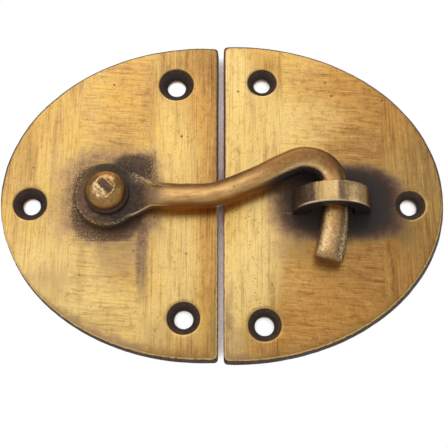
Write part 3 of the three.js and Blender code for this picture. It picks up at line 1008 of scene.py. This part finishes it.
def plate_material(name, plate):
    """Brushed antique brass of a plate."""
    graph = Graph(bpy.data.materials.new(name))
    x, y, z = graph.x, graph.y, graph.z
    left, right = plate["brushed_sideways"]
    wander = graph.noise((0.02, 1, 0.10), 13.0, 2, 0.5) - 0.5
    leaning = wander * 1.6 + z * -0.03 + x
    sideways = leaning.between(left - 0.6, left + 0.6) * leaning.between(right + 0.8, right - 0.8)
    grain, stroke, band = brushing(graph, sideways)
    cloud = graph.noise((0.09, 1, 0.09), 2.0, 4, 0.6) - 0.5
    blotch = graph.noise((0.40, 1, 0.40), 3.0, 5, 0.65) - 0.5
    patchy = graph.noise((0.75, 1, 0.45), 17.0, 5, 0.72)
    mottle = graph.noise((1.9, 1, 1.9), 12.0, 4, 0.7)
    freckle = graph.noise((3.4, 1, 3.4), 21.0, 3, 0.7)

    # clean brass: broad zones of colour, partly painted light (pale highlights, amber and deep shade), then
    # darker and brighter lines of brushing
    tone = band * 0.5 + (cloud + blotch) * 0.3
    streaked = (stroke - 0.5) * 1.5 + (band - 0.5) * 0.9 + blotch * 0.6
    colour = graph.over(TAN, (tone.between(0.17, 0.33), GOLD))
    zones = (("amber", cloud, AMBER), ("pale", cloud, PALE_TONE_AND_HIGHLIGHT), ("deep", streaked, BRONZE))
    for kind, raggedness, layer in zones:
        colour = graph.over(colour, (patches(graph, plate[kind], raggedness), layer))
    patterns = ((band, 0.12, 0.45), (stroke, 0.34, 0.55), (grain, 0.52, 0.70))
    patterns += ((mottle, 0.24, 0.50), (patchy, 0.34, 0.58))
    for pattern, light, dark in patterns:
        colour = graph.mix(pattern.between(0.50, 0.28) * dark, colour, GROOVE, "MULTIPLY")
        colour = graph.mix(pattern.between(0.53, 0.75) * light, colour, GLEAM)

    # tarnish on the face: ragged stains, unevenly deep, with pits and flecks
    back = y.between(-1.0, -0.2)
    front = back.invert()
    ragged = (stroke - 0.5) * plate["streaking"] + blotch * plate["ragged"]
    stained = patches(graph, plate["stains"], ragged, power=3.4) * front
    tarnished = most(blotch.between(0.0, 0.25) * 0.10, stained)
    uneven = (mottle - 0.5) * 0.36 + (freckle - 0.5) * 0.14 + (stroke - 0.5) * (plate["streaking"] * 1.6)
    part_way = tarnished.between(0.08, 0.35) * tarnished.between(1.5, 0.5)
    tarnished = uneven * part_way + tarnished
    worn_patch = graph.noise((0.16, 1, 0.16), 8.0, 3, 0.7).between(0.50, 0.62)
    pits = most(graph.specks(0.7, 0.22) * worn_patch, graph.specks(1.5, 0.06, 4.0))
    flecked = patches(graph, plate["flecked"], cloud) * front
    tarnished = freckle.between(0.46, 0.38) * flecked * 0.42 + most(tarnished, pits * 0.55)

    # tarnish where no brush reached: the rim, the cast walls, the countersinks and the back. Along the upper
    # rim the dark line is painted shade, and the face is darker within about 3 mm of its lower border.
    rim, sink = graph.attribute("rim"), graph.attribute("sink")
    nicks = graph.noise(1.0, 6.0, 5, 0.75)
    edge = (nicks - 0.5) * 0.6 + rim
    # painted shade: a dark line along the upper rim, where it turns away from the lamps
    upper_rim_shade = edge.between(0.30, -0.10) * z.between(-6, 4)
    dull_border = (blotch * 5.0 + rim).between(2.8, 0.2) * z.between(-14.0, -30.0)
    wall = edge.between(-0.18, -0.32)
    crusted = nicks.between(0.34, 0.66) * 0.28 + 0.66
    sunk = sink.between(0.05, -0.18) * front
    sunk_tone = y.between(-2.6, -0.9) * 0.20 + mottle * 0.56 + 0.49
    rough_cast = graph.noise(1.2, 7.0, 5, 0.65)
    raw_back = cloud * 1.3 + rough_cast * 0.6 + 0.15
    tarnished = most(tarnished, upper_rim_shade * 0.72, dull_border * 0.30, wall * crusted)
    tarnished = most(tarnished, sunk * sunk_tone, back * raw_back).clamped()

    # bright metal: the mouths of the countersinks, flecks and scratches, and a line on the low rim that is
    # partly wear and partly painted highlight
    mouth_line = abs(sink - 0.10).between(0.16, 0.03) * most(stained, back).invert()
    # partly wear, partly a painted highlight: a bright line along the lower rim
    low_rim_wear_and_highlight = abs(edge + 0.06).between(0.18, 0.05) * z.between(4.0, -10.0) * front
    on_face = most(wall, sunk).between(1.0, 0.2)
    light_flecks = freckle.between(0.54, 0.62) * flecked * on_face
    scratches = bright_scratches(graph, plate["scratches"], mottle - 0.5) * front
    bright = most(mouth_line * 0.28, low_rim_wear_and_highlight * nicks.between(0.36, 0.50), light_flecks * 0.62, scratches)
    colour = graph.mix(bright, tarnish(graph, colour, tarnished), GLEAM)

    roughness = tarnished * 0.22 + grain * 0.16 + 0.27
    casting = most(back, rim.between(-0.1, -0.4)) * rough_cast
    relief = grain * 0.7 + stroke * 0.8 + mottle * 0.5 + pits * -2.2 + casting * 5.0
    return graph.metal(colour, tarnished, 0.25, roughness, relief, 0.035, sideways)


def hook_material():
    """Dark forged brass, worn bright on its high places, with painted shade on the bar's upper and lower
    sides and painted highlights on the crook's ridge and along the tip.

    along runs from the pivot to the tip in millimetres, across from -1 to 1 over the bar's width, and side is
    how far the surface faces across the bar.
    """
    graph = Graph(bpy.data.materials.new("hook_brass"))
    x, y, z = graph.x, graph.y, graph.z
    along, across, side = (graph.attribute(name) for name in ("along", "across", "side"))
    grain = graph.noise(1.1, 0.0, 4, 0.6)
    fine = graph.noise(3.6, 3.0, 4, 0.7)
    drawn = graph.noise_at(graph.vector(along * 0.35, across * 5.0, y * 2.0), 4, 0.6)
    radius = (x * x + z * z) ** 0.5
    placed = (drawn - 0.5) * 0.5 + across
    # painted shade, with some tarnish: the bar's upper side darkens to umber and its lower side to red brown,
    # darker towards both edges as they turn from the lamps
    upper_shade_and_tarnish = most((grain * 0.3 + side).between(0.20, 0.85), placed.between(0.02, 0.52))
    lower = most(side.between(-0.30, -0.85), placed.between(-0.72, -0.98))
    colour = graph.mix(drawn.between(0.35, 0.65), (0.68, 0.36, 0.125), (0.93, 0.57, 0.22))
    colour = graph.over(colour, (upper_shade_and_tarnish * 0.90, UMBER), (lower * 0.85, RED_BROWN_SHADE))
    tarnished = most(upper_shade_and_tarnish * 0.30, lower * 0.22)

    # the eye: violet brown at the upper left, blue-black at the right and below, fading out along the neck;
    # oxide, darkened by painted shade most at the right of the dome
    around_eye = (grain * 5.0 + along).between(14.5, 8.0)
    around_eye = most(around_eye, radius.between(EYE_RADIUS + 1.0, EYE_RADIUS - 0.5))
    shaded = (grain * 5.0 + z * -0.30 + x * -1.0).between(9.0, -1.0)
    eye_tone = shaded * 0.22 + along.between(2.5, 7.0) * -0.38 + 0.60
    eye_tone = (fine - 0.5) * 0.8 + (grain - 0.5) * 0.6 + eye_tone
    tarnished = most(tarnished, around_eye * eye_tone)

    # the crook: brown, and nearly black on its inner side, partly patina in the bend and partly painted shade
    # where that side faces down
    crook = along.between(27.0, 38.0) * along.between(54.0, 50.0)
    dull = crook * side.between(-0.42, 0.05)
    colour = graph.mix(dull * (grain * 0.8 + 0.55), colour, (0.29, 0.135, 0.045))
    # partly patina, partly painted shade on the downward-facing inner side
    inner = (fine * 0.25 + side).between(-0.36, -0.56)
    tarnished = most(tarnished, dull * 0.10, crook * inner * 0.97)

    # the tip: browner along its middle, on its left and at its end
    tip = along.between(50.0, 54.0)
    tip_middle = abs((grain - 0.5) * 1.2 + across - 0.05).between(0.55, 0.05)
    tip_left = ((fine - 0.5) * 0.8 + across).between(-0.35, -0.85)
    tip_end = (grain * 1.5 + along).between(71.2, 72.4)
    browner = (tip * tip_middle * 0.55, tip * tip_left * 0.6, tip_end * 0.75)
    colour = graph.over(colour, *((cover, BRONZE) for cover in browner))
    tarnished = most(tarnished, tip_end * 0.44, graph.specks(1.1, 0.40) * 0.55)
    tarnished = most(tarnished, tip * fine.between(0.44, 0.34) * 0.55)
    tarnished = (fine.between(0.6, 0.3) * 0.14 + tarnished).clamped()

    # bright metal: worn on the left of the eye and the edges of the neck; painted highlights, speckled like
    # wear, on the crook's inner ridge and on the edges and corners of the tip
    # painted highlight along the crook's inner ridge
    ridge_highlight = abs((grain - 0.5) * 0.25 + side + 0.34).between(0.13, 0.03)
    on_ridge = along.between(33.0, 40.0) * along.between(54.0, 50.0)
    speckled = fine.between(0.46, 0.60) * 0.62 + 0.30
    eye_rim = abs(radius - EYE_RADIUS + 0.55).between(0.50, 0.10) * (x + z).between(5.0, -5.0)
    on_neck = along.between(0.5, 3.0) * along.between(12.0, 8.0)
    neck_edge = abs(across + 0.90).between(0.06, 0.015)
    neck_top = across.between(0.30, 0.75) * fine.between(0.51, 0.58)
    worn = most(on_ridge * ridge_highlight * speckled, eye_rim * fine.between(0.52, 0.59) * 0.70)
    worn = most(worn, on_neck * neck_edge * 0.62, on_neck * neck_top * 0.62)
    # painted highlights along the tip's edges and corners, speckled like wear
    tip_line = abs(fine * 0.5 + across + 0.35).between(0.30, 0.05) * 0.6
    tip_edge_highlight = most(abs(across - 0.72).between(0.16, 0.03), tip_line)
    toward_end = along.between(60.0, 67.0)
    corner = abs(across).between(0.30, 0.70) * toward_end
    tip_highlight_and_wear = toward_end * 0.30 + most(tip_edge_highlight * 0.5, corner * 0.55) + 0.04
    worn = most(worn, tip * tip_highlight_and_wear * fine.between(0.42, 0.58) * tip_end.invert())
    flecks = fine.between(0.57, 0.68) * tarnished.between(0.3, 0.6)
    worn = most(worn, flecks * (around_eye * -0.10 + 0.28))
    colour = graph.mix(worn, tarnish(graph, colour, tarnished), RUBBED_AND_HIGHLIGHT)

    roughness = tarnished * 0.16 + grain * 0.16 + 0.24
    relief = fine * 0.5 + drawn * 0.3 + grain
    return graph.metal(colour, tarnished, 0.45, roughness, relief, 0.07)


def stud_material():
    """Turned brass, brown round its foot, with a bright scarred crown."""
    graph = Graph(bpy.data.materials.new("stud_brass"))
    beaten = graph.attribute("beaten")
    height = graph.y * -1.0 - THICKNESS
    grain = graph.noise(1.4, 0.0, 4, 0.6)
    rings = graph.noise((0.2, 7.0, 0.2), 0.0, 2, 0.5)
    scars = graph.noise(1.6, 5.0, 4, 0.7, 0.6)
    colour = graph.mix(grain.between(0.35, 0.65), (0.42, 0.212, 0.07), (0.57, 0.32, 0.112))
    low = height.between(COLLAR_TOP + 3.2, COLLAR_BOTTOM + 0.3)
    tarnished = low * 0.60 + grain * -0.3 + 0.36

    # the crown keeps two hammered facets, long from upper left to lower right, darkened as a painted dark
    # reflection
    along_facet = (graph.x - graph.z) * math.sqrt(0.5)
    across_facet = (graph.x + graph.z) * math.sqrt(0.5)
    wavering = scars * 1.2 + across_facet - 0.6
    wide, narrow = (abs(wavering - middle).between(half, half - 0.22) for middle, half in FACETS)
    facets_and_dark_reflection = most(wide, narrow) * abs(along_facet).between(2.2, 1.7) * beaten
    shining = beaten * facets_and_dark_reflection.invert()
    tarnished = shining * -0.42 + most(tarnished, facets_and_dark_reflection * 0.66)
    worn = shining * scars.between(0.56, 0.40)
    colour = graph.mix(worn * 0.85, tarnish(graph, colour, tarnished), BARE)
    roughness = tarnished * 0.2 + 0.26
    relief = rings * beaten.invert() + scars * beaten * 2.0 + facets_and_dark_reflection * -2.0
    return graph.metal(colour, tarnished, 0.5, roughness, relief, 0.05)


def staple_material():
    """Filed brass, bright on the rim from a painted highlight band, dark towards its feet, with a painted
    dark reflection streak and painted shade at both ends and underneath.
    """
    graph = Graph(bpy.data.materials.new("staple_brass"))
    height = graph.y * -1.0 - THICKNESS
    grain = graph.noise(0.9, 0.0, 4, 0.6)
    fine = graph.noise(3.6, 8.0, 4, 0.7)
    filed = graph.noise((2.2, 2.2, 0.3), 2.0, 4, 0.65)
    across = grain + graph.x - (STAPLE_X + 0.5)
    under = graph.attribute("under").between(0.35, 0.75)
    colour = graph.mix(grain.between(0.35, 0.65), (0.76, 0.48, 0.21), (0.98, 0.68, 0.34))
    # painted highlight: a band of gold on the rim's left
    highlight_band = across.between(-4.8, -3.8) * across.between(0.4, -0.8)
    furrows = filed.between(0.5, 0.3)
    colour = graph.over(colour, (highlight_band * 0.88, (0.58, 0.385, 0.15)), (furrows * 0.55, BROWN))
    low = (height + grain * 2.0).between(8.2, 3.5)
    # painted reflection and shade: a dark streak right of the middle, both ends, and the downward-facing
    # underside
    dark_reflection_streak = abs(across - 1.2).between(1.1, 0.3)
    left_end_shade = across.between(-4.0, -5.0) * (filed * 0.8 + 0.24)
    right_end_shade = across.between(7.0, 7.9)
    tarnished = most(low * 0.80, dark_reflection_streak * 0.36, left_end_shade, right_end_shade * 0.60, under * 0.93)
    tarnished = most(tarnished, graph.specks(0.9, 0.30) * 0.48)
    tarnished = (fine.between(0.6, 0.3) * 0.15 + tarnished).clamped()
    lower_edge = abs(graph.z - STAPLE_LOW[2] - 0.35).between(0.35, 0.08)
    worn = lower_edge * height.between(4.0, 7.0) * fine.between(0.3, 0.5)
    worn = most(worn * 0.9, fine.between(0.56, 0.66) * 0.35) * under.invert()
    colour = graph.mix(worn, tarnish(graph, colour, tarnished), BARE)
    roughness = tarnished * 0.2 + 0.25
    relief = filed * 0.8 + grain + fine * 0.4
    return graph.metal(colour, tarnished, 0.5, roughness, relief, 0.045)


# ---------- assembly ----------


def flat_uv(piece):
    """A UV map along x and z, which gives brushed metal its direction."""
    layer = piece.data.uv_layers.new(name="brushing")
    corners = np.zeros(len(piece.data.loops), int)
    piece.data.loops.foreach_get("vertex_index", corners)
    layer.data.foreach_set("uv", coordinates(piece)[corners][:, [0, 2]].ravel() / 100)


def fit(piece, material, body, node):
    piece.data.materials.clear()
    piece.data.materials.append(material)
    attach(piece, body)
    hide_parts(node)


def build_plate(plate, seed, other_holes):
    screw_holes = [screw_hole_rings(*hole, seed + i) for i, hole in enumerate(plate["screw_holes"])]
    piece = plate_piece(plate, screw_holes + other_holes)
    flat_uv(piece)
    material = plate_material(plate["node"] + "_brass", plate)
    fit(piece, material, plate["body"], plate["node"])


# ---------- stage, in metres ----------

WHITE = (1, 1, 1)
FLOOR_LEVEL = -0.12
FLOOR_REACH = 2.0
BACKDROP_PLACE = 0.5 * MM
BACKDROP_X = (-0.6, 0.7)
BACKDROP_TOP = 0.5
# name, position, width and height, radiance
SOFTBOXES = [
    ("front_softbox", (-0.10, -0.60, 0.26), (0.62, 0.46), 1.0),
    ("top_softbox", (0.0, -0.30, 0.60), (0.5, 0.35), 2.2),
    ("right_fill", (0.75, -0.40, 0.05), (0.28, 0.45), 0.75),
    ("left_fill", (-0.70, -0.35, 0.10), (0.30, 0.5), 0.8),
    ("back_fill", (0.30, 0.80, 0.30), (0.8, 0.8), 0.9),
]
LATCH_MIDDLE = (0.026, 0, 0)
CAMERA_TARGET = Vector((26.6, -3.0, -6.2)) * MM
CAMERA_ELEVATION = math.radians(-17.4)
CAMERA_AZIMUTH = math.radians(-0.2)
CAMERA_DISTANCE = 190 * MM
LENS = 66.7


def build_sheet(name, corners, surface_of):
    """A flat sheet of paper that is seen only from its front."""
    graph = Graph(bpy.data.materials.new(name + "_paper"))
    facing = graph.node("ShaderNodeNewGeometry").outputs["Backfacing"]
    clear = graph.node("ShaderNodeBsdfTransparent").outputs[0]
    choose = graph.node("ShaderNodeMixShader", {0: facing, 1: surface_of(graph), 2: clear})
    graph.node("ShaderNodeOutputMaterial", {0: choose.outputs[0]})
    mesh = bpy.data.meshes.new(name)
    mesh.from_pydata(corners, [], [(0, 1, 2, 3)])
    mesh.materials.append(graph.owner)
    sheet = new_object(name, mesh)
    return sheet


def backdrop_glow_with_painted_shade(graph):
    """A glowing white sheet, not lit by the lamps, with painted shade: an ambient-occlusion test turns it
    warm grey in narrow gaps.
    """
    shade = graph.node("ShaderNodeAmbientOcclusion", {"Distance": 20 * MM}, samples=16)
    # painted shade: brightness from ambient occlusion, clipped to white in the open
    light = (Value(graph, shade.outputs["AO"]) * 3.1) ** 2.4
    colour = graph.mix(light.between(0.0, 1.0) ** 2.0, (0.84, 0.48, 0.38), WHITE)
    strength = graph.math("MINIMUM", light, 1.0)
    return graph.node("ShaderNodeEmission", {"Color": colour, "Strength": strength}).outputs[0]


def floor_surface(graph):
    colour = graph.mix(graph.noise(0.02, 0.0, 4, 0.5), (0.86, 0.855, 0.85), (0.90, 0.895, 0.89))
    return graph.node("ShaderNodeBsdfDiffuse", {"Color": colour}).outputs[0]


def build_stage():
    """Pale floor below, pale sheet just behind the plates, and white surroundings."""
    scene = bpy.context.scene
    scene.view_settings.view_transform = "Standard"
    left, right = BACKDROP_X
    corners = ((left, FLOOR_LEVEL), (right, FLOOR_LEVEL), (right, BACKDROP_TOP), (left, BACKDROP_TOP))
    backdrop = build_sheet("backdrop", [(x, BACKDROP_PLACE, z) for x, z in corners], backdrop_glow_with_painted_shade)
    for ray in ("diffuse", "glossy", "transmission", "shadow"):
        setattr(backdrop, "visible_" + ray, False)
    signs = ((-1, -1), (1, -1), (1, 1), (-1, 1))
    build_sheet("floor", [(x * FLOOR_REACH, y * FLOOR_REACH, FLOOR_LEVEL) for x, y in signs], floor_surface)

    world = Graph(bpy.data.worlds.new("studio"))
    scene.world = world.owner
    seen = world.node("ShaderNodeLightPath").outputs["Is Camera Ray"]
    room = world.node("ShaderNodeBackground", {"Color": (0.90, 0.95, 1.0), "Strength": 0.30}).outputs[0]
    white = world.node("ShaderNodeBackground", {"Color": WHITE}).outputs[0]
    choose = world.node("ShaderNodeMixShader", {0: seen, 1: room, 2: white})
    world.node("ShaderNodeOutputWorld", {0: choose.outputs[0]})


def build_light(name, position, size, radiance):
    """A rectangular light, turned to the latch."""
    light = bpy.data.lights.new(name, "AREA")
    light.shape = "RECTANGLE"
    light.size, light.size_y = size
    light.energy = radiance * math.pi * light.size * light.size_y
    lamp = new_object(name, light)
    lamp.location = position
    lamp.rotation_euler = (Vector(LATCH_MIDDLE) - Vector(position)).to_track_quat("-Z", "Y").to_euler()
    lamp.visible_camera = False


def build_camera():
    """In front of the latch and a little below it, close enough to show its depth."""
    level = -math.cos(CAMERA_ELEVATION)
    across, back = math.sin(CAMERA_AZIMUTH) * level, math.cos(CAMERA_AZIMUTH) * level
    away = Vector((across, back, math.sin(CAMERA_ELEVATION)))
    camera = new_object("camera", bpy.data.cameras.new("camera"))
    camera.location = CAMERA_TARGET + CAMERA_DISTANCE * away
    camera.rotation_euler = (-away).to_track_quat("-Z", "Y").to_euler()
    camera.data.sensor_width = 36
    camera.data.lens = LENS
    camera.data.clip_start = 5 * MM
    bpy.context.scene.camera = camera


build_plate(HOOK_PLATE, 40, [stud_hole_rings()])
build_plate(CATCH_PLATE, 50, [tenon_hole_rings(-1), tenon_hole_rings(1)])
fit(stud_piece(), stud_material(), "hook_half", "pivot_stud")
fit(hook_piece(), hook_material(), "hook", "hook")
fit(staple_piece(), staple_material(), "catch_half", "eye_staple")
build_stage()
for softbox in SOFTBOXES:
    build_light(*softbox)
build_camera()
